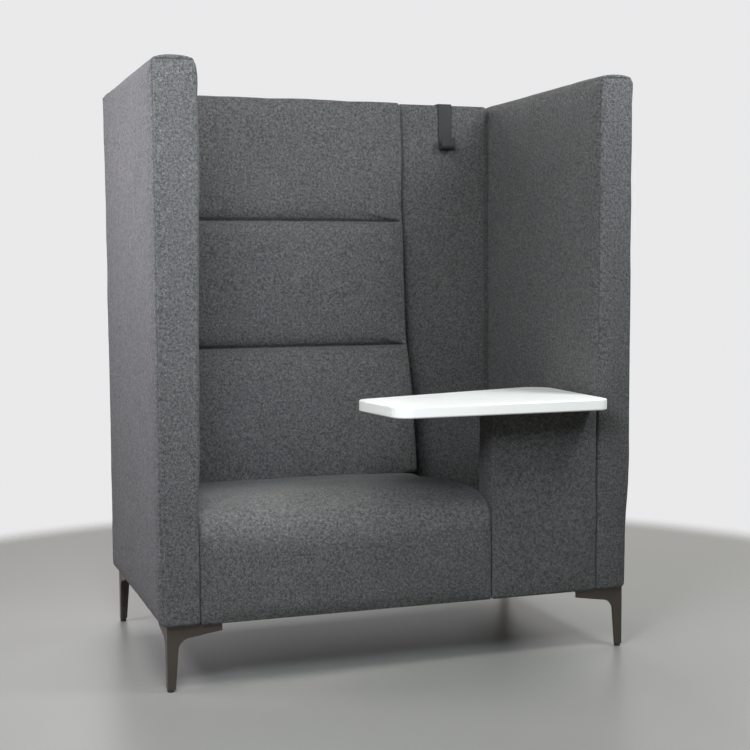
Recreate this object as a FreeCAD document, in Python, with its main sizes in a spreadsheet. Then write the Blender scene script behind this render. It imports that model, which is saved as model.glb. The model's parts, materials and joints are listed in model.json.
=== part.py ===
import FreeCAD, Part
import math
import os
import re
import Sketcher

# Privacy booth sofa: a seat between two high side panels, with a table over its right end.
# The origin is on the floor, at the middle of the whole object's plan.
# +X points to the right of someone who looks at the front, +Y to the back and +Z up.

Vector = FreeCAD.Vector
doc = FreeCAD.newDocument("privacy_booth_sofa")

# Driving dimensions in millimetres
driving = [
    # shell
    ("width", 1200),
    ("shell_depth", 735),
    ("height", 1445),
    ("base_height", 154),
    ("side_thickness", 89),
    ("panel_padding", 22),
    ("edge_padding", 12),
    ("panel_round", 13),
    ("frame_rail", 70),
    ("back_thickness", 40),
    ("back_padding", 10),
    ("seam_gap", 0.5),
    # backrest and coat section
    ("bay_width", 733),
    ("upper_channel_height", 1108),
    ("lower_channel_height", 758),
    ("channel_round", 14),
    ("head_depth_top", 59),
    ("head_depth_low", 67),
    ("shoulder_depth_top", 73),
    ("shoulder_depth_low", 96),
    ("lumbar_depth_top", 108),
    ("lumbar_depth_low", 183),
    ("pad_swell", 5),
    ("lumbar_swell", 19),
    ("pad_crown", 5),
    ("pad_end_draw", 9),
    ("pad_end_length", 26),
    ("coat_pad_depth", 25),
    ("coat_pad_swell", 2),
    # seat
    ("seat_height", 426),
    ("seat_depth", 504),
    ("seat_fall", 25),
    ("seat_nose_rise", 82),
    ("seat_nose_depth", 42),
    ("seat_nose_drop", 15.5),
    ("seat_nose_swell", 11),
    ("seat_crown_place", 160),
    ("seat_top_swell", 5),
    ("seat_apron", 30),
    ("seat_wall", 20),
    ("seat_deck_height", 298),
    ("seat_rail", 32),
    ("webbing_width", 60),
    ("webbing_thickness", 2),
    ("webbing_straps", 6),
    # base and support panel
    ("board_thickness", 18),
    ("support_thickness", 89),
    ("mat_thickness", 4),
    ("dust_thickness", 1),
    ("dust_margin", 45),
    # table
    ("table_height", 652),
    ("table_thickness", 28),
    ("table_overhang", 105),
    ("table_length", 600),
    ("table_depth_right", 427),
    ("table_depth_left", 236),
    ("table_gap", 2),
    ("table_end_lean", 29),
    ("table_side_lean", 15),
    ("table_front_lean", 10),
    ("table_nose_round", 45),
    ("table_tip_round", 25),
    ("table_rear_round", 60),
    ("table_end_round", 40),
    ("table_edge_round", 4),
    # brackets below the table
    ("bracket_leg", 60),
    ("bracket_width", 40),
    ("bracket_plate", 4),
    ("bracket_screw_place", 39),
    ("bracket_side_place", 230),
    # legs and glides
    ("leg_inset", 11),
    ("leg_arm_long", 130),
    ("leg_arm_short", 105),
    ("leg_arm_width", 28),
    ("leg_tip_depth", 18),
    ("leg_root_depth", 29),
    ("leg_fillet", 30),
    ("leg_plate", 6),
    ("leg_flange", 5),
    ("leg_gusset", 25),
    ("leg_boss_radius", 6.2),
    ("leg_boss_place", 8),
    ("leg_boss_end", 3),
    ("post_root", 26),
    ("post_foot", 19),
    ("glide_radius", 8),
    ("glide_foot", 6),
    ("glide_gap", 0.4),
    ("glide_stem_radius", 4),
    ("glide_stem", 26),
    ("glide_bore_spare", 6),
    ("glide_clearance", 0.05),
    # coat hanger
    ("hanger_place", 145),
    ("hanger_width", 40),
    ("hanger_thickness", 3),
    ("hanger_gap", 0.4),
    ("hanger_front", 128),
    ("hanger_rear", 85),
    ("hanger_bend", 5),
    ("hook_throat", 24),
    ("hook_rise", 32),
    ("hook_bend", 9),
    # fasteners
    ("stud_radius", 4),
    ("stud_reach", 50),
    ("stud_end", 120),
    ("screw_radius", 2.5),
    ("screw_head_radius", 4.5),
    ("screw_head", 3),
    ("screw_bite", 30),
    ("table_screw_bite", 16),
    ("screw_clearance", 0.1),
    ("leg_screw_place", 56),
    ("leg_screw_end", 14),
]

# Places worked out from the driving dimensions
derived = [
    ("half_width", "width / 2"),
    ("inner_x", "half_width - side_thickness"),
    ("bay_x", "bay_width - inner_x"),
    ("rear_y", "(shell_depth + table_overhang - hanger_gap - hanger_thickness) / 2"),
    ("front_y", "rear_y - shell_depth"),
    ("pad_y", "rear_y - back_thickness"),
    ("coat_y", "pad_y - coat_pad_depth - coat_pad_swell"),
    ("side_frame_top", "height - edge_padding"),
    ("board_top", "base_height + board_thickness"),
    ("board_y", "front_y + seat_apron"),
    ("seat_rear_height", "seat_height - seat_fall"),
    ("deck_top", "seat_deck_height + webbing_thickness"),
    ("support_y", "front_y + support_thickness"),
    ("table_low", "table_height - table_thickness"),
    ("table_x", "inner_x - table_gap"),
    ("table_y", "front_y - table_overhang"),
    ("leg_foot", "glide_foot + glide_gap"),
    ("bore_radius", "glide_stem_radius + glide_clearance"),
]

owner = {}


def linked(formula, sheet_name):
    # Put the sheet's name before each alias that stands in another sheet
    def full_name(word):
        alias = word.group()
        if alias in owner and owner[alias] != sheet_name:
            return owner[alias] + "." + alias
        return alias
    return re.sub(r"[a-z]\w*", full_name, formula)


def make_sheet(name, rows):
    sheet = doc.addObject("Spreadsheet::Sheet", name)
    for row, (alias, text) in enumerate(rows, 1):
        owner[alias] = name
        sheet.set(f"A{row}", alias)
        sheet.set(f"B{row}", text)
        sheet.setAlias(f"B{row}", alias)
    return sheet


make_sheet("Sizes", [(alias, str(number)) for alias, number in driving])
derived_names = {alias: "Places" for alias, formula in derived}
owner.update(derived_names)
make_sheet("Places", [(alias, "=" + linked(formula, "Places")) for alias, formula in derived])
doc.recompute()
size = {alias: float(doc.getObject(name).get(alias)) for alias, name in owner.items()}
parts = []


def bind(item, prop, formula):
    item.setExpression(prop, linked(formula, ""))


def bind_block(item, spans):
    # Tie a block's sides and its low corner to the three spans
    for side, axis, (low, high) in zip(("Length", "Width", "Height"), "xyz", spans):
        bind(item, side, f"({high}) - ({low})")
        bind(item, f"Placement.Base.{axis}", low)


def block(name, spans):
    item = doc.addObject("Part::Box", name)
    bind_block(item, spans)
    return item


def cut(name, base, *tools):
    # Take each tool from the base in turn, the last cut has the given name
    item = base
    for step, tool in enumerate(tools, 1):
        last = step == len(tools)
        result = doc.addObject("Part::Cut", name if last else f"{name}_step_{step}")
        result.Base = item
        result.Tool = tool
        item = result
    return item


def feature(name, shape, place=FreeCAD.Placement()):
    item = doc.addObject("Part::Feature", name)
    item.Shape = shape
    item.Placement = place
    return item


def soft_block(name, spans, pockets):
    # Upholstered block with rounded edges, hollowed by pockets for the timber inside
    body = doc.addObject("PartDesign::Body", name)
    core = body.newObject("PartDesign::AdditiveBox", name + "_core")
    bind_block(core, spans)
    doc.recompute()
    rounding = body.newObject("PartDesign::Fillet", name + "_rounding")
    rounding.Base = (core, ["Face1"])
    rounding.UseAllEdges = True
    bind(rounding, "Radius", "panel_round")
    for index, pocket in enumerate(pockets, 1):
        hollow = body.newObject("PartDesign::SubtractiveBox", f"{name}_pocket_{index}")
        bind_block(hollow, pocket)
    doc.recompute()
    return body


def keep(item, label):
    item.Label = label
    parts.append(item)
    return item


def mirrored(sign, low, high):
    # A span on the right side, or the same span on the left
    return (low, high) if sign > 0 else (f"-({high})", f"-({low})")


def rod(radius, start, direction, length):
    return Part.makeCylinder(radius, length, start, direction)


def screw(start, direction, shank, grow=0.0):
    # Shank from the start point, with a head behind it; grow makes the hole for it
    radius = size["screw_radius"] + grow
    head_radius = size["screw_head_radius"] + grow
    head = size["screw_head"] + grow
    body = rod(radius, start, direction, shank + grow)
    return body.fuse(rod(head_radius, start - direction * head, direction, head)).removeSplitter()


sides = (("left", -1), ("right", 1))
along_x = Vector(1, 0, 0)
along_y = Vector(0, 1, 0)
along_z = Vector(0, 0, 1)

# Studs that join the side panels to the back and to the base board
stud_y = size["rear_y"] - size["back_thickness"] / 2
stud_low = size["base_height"] + size["stud_end"]
stud_high = size["height"] - size["stud_end"]
board_z = size["base_height"] + size["board_thickness"] / 2
board_stud_front = size["front_y"] + size["stud_end"]
board_stud_rear = size["rear_y"] - size["stud_end"]
stud_places = [(stud_y, height) for height in (stud_low, (stud_low + stud_high) / 2, stud_high)]
stud_places += [(y, board_z) for y in (board_stud_front, (board_stud_front + board_stud_rear) / 2,
                                       board_stud_rear)]


def studs(grow):
    reach = size["stud_reach"]
    length = 2 * reach + grow
    rods = []
    for side, sign in sides:
        middle = sign * (size["inner_x"] + (size["panel_padding"] - size["back_padding"]) / 2)
        for y, z in stud_places:
            start = Vector(middle - length / 2, y, z)
            rods.append(rod(size["stud_radius"] + grow, start, along_x, length))
    return Part.makeCompound(rods)


keep(feature("panel_studs", studs(0)), "panel_studs")
stud_holes = feature("stud_holes", studs(size["screw_clearance"]))

# Leg screws, counted from the outer corner of the sofa's plan
leg_screw_front = size["leg_inset"] + size["leg_arm_width"] / 2
leg_screw_side = size["panel_padding"] + size["leg_inset"]
leg_screw_places = (
    (size["leg_screw_place"], leg_screw_front),
    (leg_screw_side, size["leg_screw_place"]),
    (leg_screw_side, size["leg_inset"] + size["leg_arm_short"] - size["leg_screw_end"]),
)


def corner_point(sign_x, end, x, y, z):
    # A point given by its distances from the outer side and from the front or the rear
    plan_y = size["front_y"] + y if end == "front" else size["rear_y"] - y
    return Vector(sign_x * (size["half_width"] - x), plan_y, z)


corners = [(f"{end}_{side}", sign, end) for end in ("front", "back") for side, sign in sides]
leg_screw_z = size["base_height"] - size["leg_flange"]
leg_screw_shank = size["leg_flange"] + size["screw_bite"]


def leg_screws(grow):
    found = []
    for name, sign, end in corners:
        for x, y in leg_screw_places:
            start = corner_point(sign, end, x, y, leg_screw_z)
            found.append(screw(start, along_z, leg_screw_shank, grow))
    return Part.makeCompound(found)


keep(feature("leg_screws", leg_screws(0)), "leg_screws")
leg_screw_holes = feature("leg_screw_holes", leg_screws(size["screw_clearance"]))

# Brackets below the table: two behind the support panel and one on the right side panel
support_middle = (size["bay_x"] + size["inner_x"]) / 2
support_spread = (size["inner_x"] - size["bay_x"]) / 4
bracket_side_y = size["front_y"] + size["bracket_side_place"]


def bracket_place(x, y, turn):
    return FreeCAD.Placement(Vector(x, y, size["table_low"]), FreeCAD.Rotation(along_z, turn))


brackets = [
    ("bracket_support_left", bracket_place(support_middle - support_spread, size["support_y"], 0)),
    ("bracket_support_right", bracket_place(support_middle + support_spread, size["support_y"], 0)),
    ("bracket_side", bracket_place(size["inner_x"], bracket_side_y, 90)),
]
bracket_reach = size["bracket_screw_place"]
bracket_row = size["bracket_width"] / 4


def bracket_screws(grow):
    # Two screws up into the table and two level ones into the panel, before the bracket is placed
    plate = size["bracket_plate"]
    level_bite = size["panel_padding"] + size["screw_bite"]
    found = []
    for x in (-bracket_row, bracket_row):
        up = Vector(x, bracket_reach, -plate)
        found.append(screw(up, along_z, plate + size["table_screw_bite"], grow))
        level = Vector(x, plate, -bracket_reach)
        found.append(screw(level, -along_y, plate + level_bite, grow))
    return found


def all_bracket_screws(grow):
    found = []
    for name, place in brackets:
        found += [shape.transformed(place.toMatrix()) for shape in bracket_screws(grow)]
    return Part.makeCompound(found)


keep(feature("bracket_screws", all_bracket_screws(0)), "bracket_screws")
bracket_screw_holes = feature("bracket_screw_holes", all_bracket_screws(size["screw_clearance"]))

# An angle bracket stands against the panel with one leg and carries the table on the other
leg_length = size["bracket_leg"]
half_bracket = size["bracket_width"] / 2
plate = size["bracket_plate"]
upright = Part.makeBox(size["bracket_width"], plate, leg_length, Vector(-half_bracket, 0, -leg_length))
shelf = Part.makeBox(size["bracket_width"], leg_length, plate, Vector(-half_bracket, 0, -plate))
angle_shape = upright.fuse(shelf).removeSplitter()
for name, place in brackets:
    angle = feature(name + "_angle", angle_shape, place)
    keep(cut(name, angle, bracket_screw_holes), name)

# Screws that hold the seat frame and the support frame down on the base board
seat_left = size["seat_wall"] + size["seam_gap"] - size["inner_x"]
seat_right = size["bay_x"] - size["seat_wall"]
seat_rail_middle = size["seat_rail"] / 2
seat_screw_x = (seat_left + (seat_right - seat_left) / 4, seat_right - (seat_right - seat_left) / 4)
seat_screw_y = (size["board_y"] + seat_rail_middle, size["pad_y"] - size["seam_gap"] - seat_rail_middle)
frame_screw_places = [(x, y) for x in seat_screw_x for y in seat_screw_y]
support_screw_y = size["front_y"] + size["support_thickness"] / 2
frame_screw_places += [(support_middle + shift, support_screw_y) for shift in (-support_spread, support_spread)]
frame_screw_z = size["base_height"] + size["screw_head"]
frame_screw_shank = size["board_thickness"] - size["screw_head"] + size["screw_bite"]


def frame_screws(grow):
    return Part.makeCompound([screw(Vector(x, y, frame_screw_z), along_z, frame_screw_shank, grow)
                              for x, y in frame_screw_places])


keep(feature("frame_screws", frame_screws(0)), "frame_screws")
frame_screw_holes = feature("frame_screw_holes", frame_screws(size["screw_clearance"]))

# Side panels: a timber frame with a cross rail at table height, in an upholstered cover
frame_y = ("front_y + edge_padding", "rear_y - edge_padding")
window_y = ("front_y + edge_padding + frame_rail", "rear_y - edge_padding - frame_rail")
side_windows = [
    ("base_height + frame_rail", "table_low - frame_rail"),
    ("table_low", "side_frame_top - frame_rail"),
]
for side, sign in sides:
    name = f"{side}_side_frame"
    frame_x = mirrored(sign, "inner_x + panel_padding", "half_width - panel_padding")
    board = block(name + "_board", (frame_x, frame_y, ("base_height", "side_frame_top")))
    windows = [block(f"{name}_window_{index}", (frame_x, window_y, window_z))
               for index, window_z in enumerate(side_windows, 1)]
    bracket_holes = [bracket_screw_holes] if side == "right" else []
    keep(cut(name, board, *windows, stud_holes, leg_screw_holes, *bracket_holes), name)
    name = f"{side}_side_cover"
    cover_spans = (mirrored(sign, "inner_x", "half_width"), ("front_y", "rear_y"), ("base_height", "height"))
    pocket = (frame_x, frame_y, ("base_height", "side_frame_top"))
    cover = soft_block(name + "_body", cover_spans, [pocket])
    keep(cut(name, cover, stud_holes, *bracket_holes), name)

# Back between the side panels
back_x = ("seam_gap - inner_x", "inner_x - seam_gap")
back_frame_x = ("seam_gap + back_padding - inner_x", "inner_x - seam_gap - back_padding")
back_frame_y = ("pad_y + back_padding", "rear_y - back_padding")
back_window_x = (f"{back_frame_x[0]} + frame_rail", f"{back_frame_x[1]} - frame_rail")
back_windows = [
    ("base_height + frame_rail", "lower_channel_height - frame_rail / 2"),
    ("lower_channel_height + frame_rail / 2", "side_frame_top - frame_rail"),
]
back_spans = (back_frame_x, back_frame_y, ("base_height", "side_frame_top"))
board = block("back_frame_board", back_spans)
windows = [block(f"back_frame_window_{index}", (back_window_x, back_frame_y, window_z))
           for index, window_z in enumerate(back_windows, 1)]
keep(cut("back_frame", board, *windows, stud_holes), "back_frame")
cover = soft_block("back_cover_body", (back_x, ("pad_y", "rear_y"), ("base_height", "height")), [back_spans])
keep(cut("back_cover", cover, stud_holes), "back_cover")


def bow(start, end, rise):
    # Arc from start to end that stands off its chord by rise, to the left of the way it runs
    chord = end - start
    off = Vector(0, -chord.z, chord.y).normalize() * rise
    return Part.Arc(start, (start + end) / 2 + off, end).toShape()


def straight(start, end):
    return Part.LineSegment(start, end).toShape()


def pad_section(x, low_z, high_z, low_depth, high_depth, swell):
    # Outline of a pad across its width: flat behind, bowed in front, rounded into the channels
    back = size["pad_y"]
    turn = size["channel_round"]
    corner_rise = turn * (1 - math.sqrt(0.5))
    low_back = Vector(x, back, low_z)
    low_front = Vector(x, back - low_depth + turn, low_z)
    front_low = Vector(x, back - low_depth, low_z + turn)
    front_high = Vector(x, back - high_depth, high_z - turn)
    high_front = Vector(x, back - high_depth + turn, high_z)
    high_back = Vector(x, back, high_z)
    return Part.Wire([
        straight(low_back, low_front),
        bow(low_front, front_low, corner_rise),
        bow(front_low, front_high, swell),
        bow(front_high, high_front, corner_rise),
        straight(high_front, high_back),
        straight(high_back, low_back),
    ])


def pad(name, x_low, x_high, z_low, z_high, depth_low, depth_high, swell, crown):
    # Loft across the width: drawn in at both ends and crowned in the middle
    draw = size["pad_end_draw"]
    end = size["pad_end_length"]
    stations = [
        (x_low, draw),
        (x_low + end, 0),
        ((x_low + x_high) / 2, -crown),
        (x_high - end, 0),
        (x_high, draw),
    ]
    sections = [pad_section(x, z_low, z_high, depth_low - inset, depth_high - inset, swell)
                for x, inset in stations]
    return keep(feature(name, Part.makeLoft(sections, True, True)), name)


# Three backrest pads, one above the other, with the coat section's pad beside them
half_gap = size["seam_gap"] / 2
pad_left = size["seam_gap"] - size["inner_x"]
pad_right = size["bay_x"]
upper = size["upper_channel_height"]
lower = size["lower_channel_height"]
pad("backrest_top_pad", pad_left, pad_right, upper + half_gap, size["height"],
    size["head_depth_low"], size["head_depth_top"], size["pad_swell"], size["pad_crown"])
pad("backrest_middle_pad", pad_left, pad_right, lower + half_gap, upper - half_gap,
    size["shoulder_depth_low"], size["shoulder_depth_top"], size["pad_swell"], size["pad_crown"])
pad("backrest_lower_pad", pad_left, pad_right, size["seat_rear_height"] + size["seam_gap"], lower - half_gap,
    size["lumbar_depth_low"], size["lumbar_depth_top"], size["lumbar_swell"], size["pad_crown"])
pad("coat_pad", size["bay_x"] + size["seam_gap"], size["inner_x"] - size["seam_gap"],
    size["board_top"], size["height"],
    size["coat_pad_depth"], size["coat_pad_depth"], size["coat_pad_swell"], 0)

# Base board under the seat and the bag well, with the dust cover below it
board = block("base_board_blank", (("-inner_x", "inner_x"), ("board_y", "pad_y"), ("base_height", "board_top")))
keep(cut("base_board", board, stud_holes, frame_screw_holes), "base_board")
dust_x = ("dust_margin - inner_x", "inner_x - dust_margin")
dust_y = ("front_y + dust_margin", "pad_y")
dust = block("dust_cover", (dust_x, dust_y, ("base_height - dust_thickness", "base_height")))
keep(dust, "dust_cover")

# Seat frame with its webbing
seat_x = ("seam_gap + seat_wall - inner_x", "bay_x - seat_wall")
seat_y = ("board_y", "pad_y - seam_gap")
seat_frame_z = ("board_top", "seat_deck_height")
seat_middle = f"(({seat_x[0]}) + ({seat_x[1]})) / 2"
seat_window_y = ("board_y + seat_rail", "pad_y - seam_gap - seat_rail")
board = block("seat_frame_board", (seat_x, seat_y, seat_frame_z))
left_window_x = (f"{seat_x[0]} + seat_rail", f"{seat_middle} - seat_rail / 2")
right_window_x = (f"{seat_middle} + seat_rail / 2", f"{seat_x[1]} - seat_rail")
left_window = block("seat_window_left", (left_window_x, seat_window_y, seat_frame_z))
right_window = block("seat_window_right", (right_window_x, seat_window_y, seat_frame_z))
keep(cut("seat_frame", board, left_window, right_window, frame_screw_holes), "seat_frame")
strap_count = int(size["webbing_straps"])
strap_step = (seat_right - seat_left) / strap_count
strap_length = size["pad_y"] - size["seam_gap"] - size["board_y"]
straps = []
for index in range(strap_count):
    strap_x = seat_left + (index + 0.5) * strap_step - size["webbing_width"] / 2
    corner = Vector(strap_x, size["board_y"], size["seat_deck_height"])
    straps.append(Part.makeBox(size["webbing_width"], strap_length, size["webbing_thickness"], corner))
keep(feature("seat_webbing", Part.makeCompound(straps)), "seat_webbing")


def seat_section(x, front_inset, top_inset):
    # Outline of the seat across its width: straight front, rounded nose, long fall to the back
    front = size["front_y"] + front_inset
    top = size["seat_height"] - top_inset
    rear = size["pad_y"] - size["seam_gap"]
    rear_top = size["seat_rear_height"]
    foot = Vector(x, front, size["base_height"])
    nose_low = Vector(x, front, top - size["seat_nose_rise"])
    nose_high = Vector(x, front + size["seat_nose_depth"], top - size["seat_nose_drop"])
    crown = Vector(x, front + size["seat_crown_place"], top)
    fall = Vector(x, size["front_y"] + size["seat_depth"], rear_top)
    rear_high = Vector(x, rear, rear_top)
    rear_low = Vector(x, rear, size["base_height"])
    return Part.Wire([
        straight(foot, nose_low),
        bow(nose_low, nose_high, size["seat_nose_swell"]),
        bow(nose_high, crown, size["seat_top_swell"]),
        bow(crown, fall, size["seat_top_swell"]),
        straight(fall, rear_high),
        straight(rear_high, rear_low),
        straight(rear_low, foot),
    ])


# Seat: foam and cover in one solid, hollow below for the frame and the base board
seat_end = size["pad_end_length"]
seat_draw = size["pad_end_draw"]
seat_stations = [
    (pad_left, seat_draw, seat_draw),
    (pad_left + seat_end, 0, 0),
    ((pad_left + pad_right) / 2, 0, -size["pad_crown"]),
    (pad_right - seat_end, 0, 0),
    (pad_right, seat_draw, seat_draw),
]
seat_sections = [seat_section(*station) for station in seat_stations]
seat_form = feature("seat_form", Part.makeLoft(seat_sections, True, True))
seat_hollow = block("seat_hollow", (seat_x, ("board_y", "pad_y"), ("base_height", "deck_top")))
seat_notch_x = ("-inner_x", "bay_x + seam_gap")
seat_notch = block("seat_notch", (seat_notch_x, ("board_y", "pad_y"), ("base_height", "board_top")))
keep(cut("seat_cushion", seat_form, seat_hollow, seat_notch), "seat_cushion")

# Support panel below the table, built like the side panels
support_x = ("bay_x + seam_gap", "inner_x - seam_gap")
support_frame_x = ("bay_x + seam_gap + panel_padding", "inner_x - seam_gap - panel_padding")
support_frame_y = ("front_y + panel_padding", "support_y - panel_padding")
support_frame_z = ("board_top", "table_low")
support_window_x = (f"{support_frame_x[0]} + seat_rail", f"{support_frame_x[1]} - seat_rail")
support_window_z = ("board_top + frame_rail", "table_low - frame_rail")
board = block("support_frame_board", (support_frame_x, support_frame_y, support_frame_z))
window = block("support_window", (support_window_x, support_frame_y, support_window_z))
keep(cut("support_frame", board, window, frame_screw_holes, bracket_screw_holes), "support_frame")
support_pockets = [
    (support_frame_x, support_frame_y, support_frame_z),
    (("bay_x", "inner_x"), ("board_y", "support_y"), ("base_height", "board_top")),
]
support_spans = (support_x, ("front_y", "support_y"), ("base_height", "table_low"))
cover = soft_block("support_cover_body", support_spans, support_pockets)
keep(cut("support_cover", cover, bracket_screw_holes), "support_cover")

# Mat on the floor of the bag well
mat_x = ("bay_x + seam_gap", "inner_x - seam_gap")
mat_y = ("support_y + seam_gap", "coat_y - seam_gap")
keep(block("well_mat", (mat_x, mat_y, ("board_top", "board_top + mat_thickness"))), "well_mat")

# Table top, narrower over the seat than at the side panel: nose, tip, rear and end corner
table_end_x = size["table_x"] - size["table_length"]
table_outline = [
    ("table_x - table_length + table_end_lean", "table_y"),
    ("table_x - table_side_lean", "table_y + table_front_lean"),
    ("table_x", "table_y + table_depth_right"),
    ("table_x - table_length", "table_y + table_depth_left"),
]
table_points = [
    Vector(table_end_x + size["table_end_lean"], size["table_y"]),
    Vector(size["table_x"] - size["table_side_lean"], size["table_y"] + size["table_front_lean"]),
    Vector(size["table_x"], size["table_y"] + size["table_depth_right"]),
    Vector(table_end_x, size["table_y"] + size["table_depth_left"]),
]
table = doc.addObject("PartDesign::Body", "table_top_body")
outline = table.newObject("Sketcher::SketchObject", "table_outline")
ground = [plane for plane in table.Origin.OriginFeatures if plane.Role == "XY_Plane"]
outline.AttachmentSupport = [(ground[0], "")]
outline.MapMode = "FlatFace"
corner_count = len(table_points)
for index, point in enumerate(table_points):
    outline.addGeometry(Part.LineSegment(point, table_points[(index + 1) % corner_count]))
for index, point in enumerate(table_points):
    outline.addConstraint(Sketcher.Constraint("Coincident", index, 2, (index + 1) % corner_count, 1))
    for kind, place, formula in zip(("DistanceX", "DistanceY"), (point.x, point.y), table_outline[index]):
        number = outline.addConstraint(Sketcher.Constraint(kind, -1, 1, index, 1, place))
        outline.renameConstraint(number, f"{kind}_{index}")
        bind(outline, f"Constraints.{kind}_{index}", formula)
slab = table.newObject("PartDesign::Pad", "table_slab")
slab.Profile = outline
bind(slab, "Length", "table_thickness")
bind(table, "Placement.Base.z", "table_low")
doc.recompute()


def upright_edges(shape, corner):
    # Names of the upright edges at a corner of the plan
    names = []
    for index, edge in enumerate(shape.Edges, 1):
        low, high = edge.Vertexes[0].Point, edge.Vertexes[-1].Point
        tall = abs(high.z - low.z) > 0.5 * size["table_thickness"]
        if tall and math.hypot(low.x - corner.x, low.y - corner.y) < 1:
            names.append(f"Edge{index}")
    return names


rounded = slab
for name, corner in zip(("nose", "tip", "rear", "end"), table_points):
    blunted = table.newObject("PartDesign::Fillet", f"table_{name}")
    blunted.Base = (rounded, upright_edges(rounded.Shape, corner))
    bind(blunted, "Radius", f"table_{name}_round")
    doc.recompute()
    rounded = blunted
level_faces = [f"Face{index}" for index, face in enumerate(rounded.Shape.Faces, 1)
               if abs(face.normalAt(0, 0).z) > 0.99]
softened = table.newObject("PartDesign::Fillet", "table_edges")
softened.Base = (rounded, level_faces)
bind(softened, "Radius", "table_edge_round")
doc.recompute()
keep(cut("table_top", table, bracket_screw_holes), "table_top")


def leg_profile(arm):
    # Outline of arm and post seen from one side, as (distance from the outer face, height)
    top = size["base_height"]
    foot = size["leg_foot"]
    root = top - size["leg_root_depth"]
    fillet = size["leg_fillet"]
    post_root = size["post_root"]
    arm_start = Vector(post_root + fillet, 0, root)
    arc_end = Vector(post_root, 0, root - fillet)
    middle = Vector(post_root + fillet, 0, root - fillet)
    arc_middle = middle + (arm_start + arc_end - middle * 2).normalize() * fillet
    corners = [
        Vector(size["post_foot"], 0, foot),
        Vector(0, 0, foot),
        Vector(0, 0, top),
        Vector(arm, 0, top),
        Vector(arm, 0, top - size["leg_tip_depth"]),
        arm_start,
    ]
    edges = [straight(start, end) for start, end in zip(corners, corners[1:])]
    edges.append(Part.Arc(arm_start, arc_middle, arc_end).toShape())
    edges.append(straight(arc_end, corners[0]))
    return Part.Face(Part.Wire(edges))


def leg_form():
    # Two upright plates that meet at the outer corner, a level flange behind them for the screws,
    # and a boss in the post for the glide's stem
    long_arm = size["leg_arm_long"]
    short_arm = size["leg_arm_short"]
    plate = size["leg_plate"]
    across = leg_profile(long_arm).extrude(Vector(0, plate, 0))
    lengthwise = leg_profile(short_arm)
    lengthwise.rotate(Vector(0, 0, 0), along_z, 90)
    lengthwise = lengthwise.extrude(Vector(plate, 0, 0))
    width = size["leg_arm_width"]
    inner = width + size["leg_gusset"]
    low = size["base_height"] - size["leg_flange"]
    flange_corners = [
        Vector(0, 0, low),
        Vector(long_arm, 0, low),
        Vector(long_arm, width, low),
        Vector(inner, width, low),
        Vector(width, inner, low),
        Vector(width, short_arm, low),
        Vector(0, short_arm, low),
    ]
    flange_face = Part.Face(Part.makePolygon(flange_corners + flange_corners[:1]))
    flange = flange_face.extrude(along_z * size["leg_flange"])
    bore_depth = size["glide_stem"] + size["glide_bore_spare"]
    bore_start = Vector(size["leg_boss_place"], size["leg_boss_place"], size["leg_foot"])
    boss = rod(size["leg_boss_radius"], bore_start, along_z, bore_depth + size["leg_boss_end"])
    bore = rod(size["bore_radius"], bore_start, along_z, bore_depth)
    return across.fuse([lengthwise, flange, boss]).removeSplitter().cut(bore)


def glide_form():
    # Round foot with a plain stem that stands for the threaded one
    middle = Vector(size["leg_boss_place"], size["leg_boss_place"], 0)
    foot = rod(size["glide_radius"], middle, along_z, size["glide_foot"])
    stem = rod(size["glide_stem_radius"], middle, along_z, size["glide_foot"] + size["glide_stem"])
    return foot.fuse(stem).removeSplitter()


def turned_to(shape, sign, end):
    # Mirror a shape that is drawn from the front left corner inwards to suit another corner
    turned = shape.copy()
    if sign > 0:
        turned = turned.mirror(Vector(0, 0, 0), along_x)
    if end == "back":
        turned = turned.mirror(Vector(0, 0, 0), along_y)
    return turned


# Four corner legs with their levelling glides
leg_shape = leg_form()
glide_shape = glide_form()
for name, sign, end in corners:
    corner = corner_point(sign, end, size["leg_inset"], size["leg_inset"], 0)
    place = FreeCAD.Placement(corner, FreeCAD.Rotation())
    blank = feature(f"leg_{name}_blank", turned_to(leg_shape, sign, end), place)
    keep(cut(f"leg_{name}", blank, leg_screw_holes), f"leg_{name}")
    keep(feature(f"glide_{name}", turned_to(glide_shape, sign, end), place), f"glide_{name}")


def bent_path(points, radii):
    # Straight runs through the points, with a tangent arc of its own radius at each inner point
    edges = []
    here = points[0]
    for before, corner, after, radius in zip(points, points[1:], points[2:], radii):
        back = (before - corner).normalize()
        ahead = (after - corner).normalize()
        half_turn = back.getAngle(ahead) / 2
        arc_start = corner + back * (radius / math.tan(half_turn))
        arc_end = corner + ahead * (radius / math.tan(half_turn))
        bisector = (back + ahead).normalize()
        arc_middle = corner + bisector * (radius / math.sin(half_turn) - radius)
        edges.append(straight(here, arc_start))
        edges.append(Part.Arc(arc_start, arc_middle, arc_end).toShape())
        here = arc_end
    edges.append(straight(here, points[-1]))
    return Part.Wire(edges)


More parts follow.
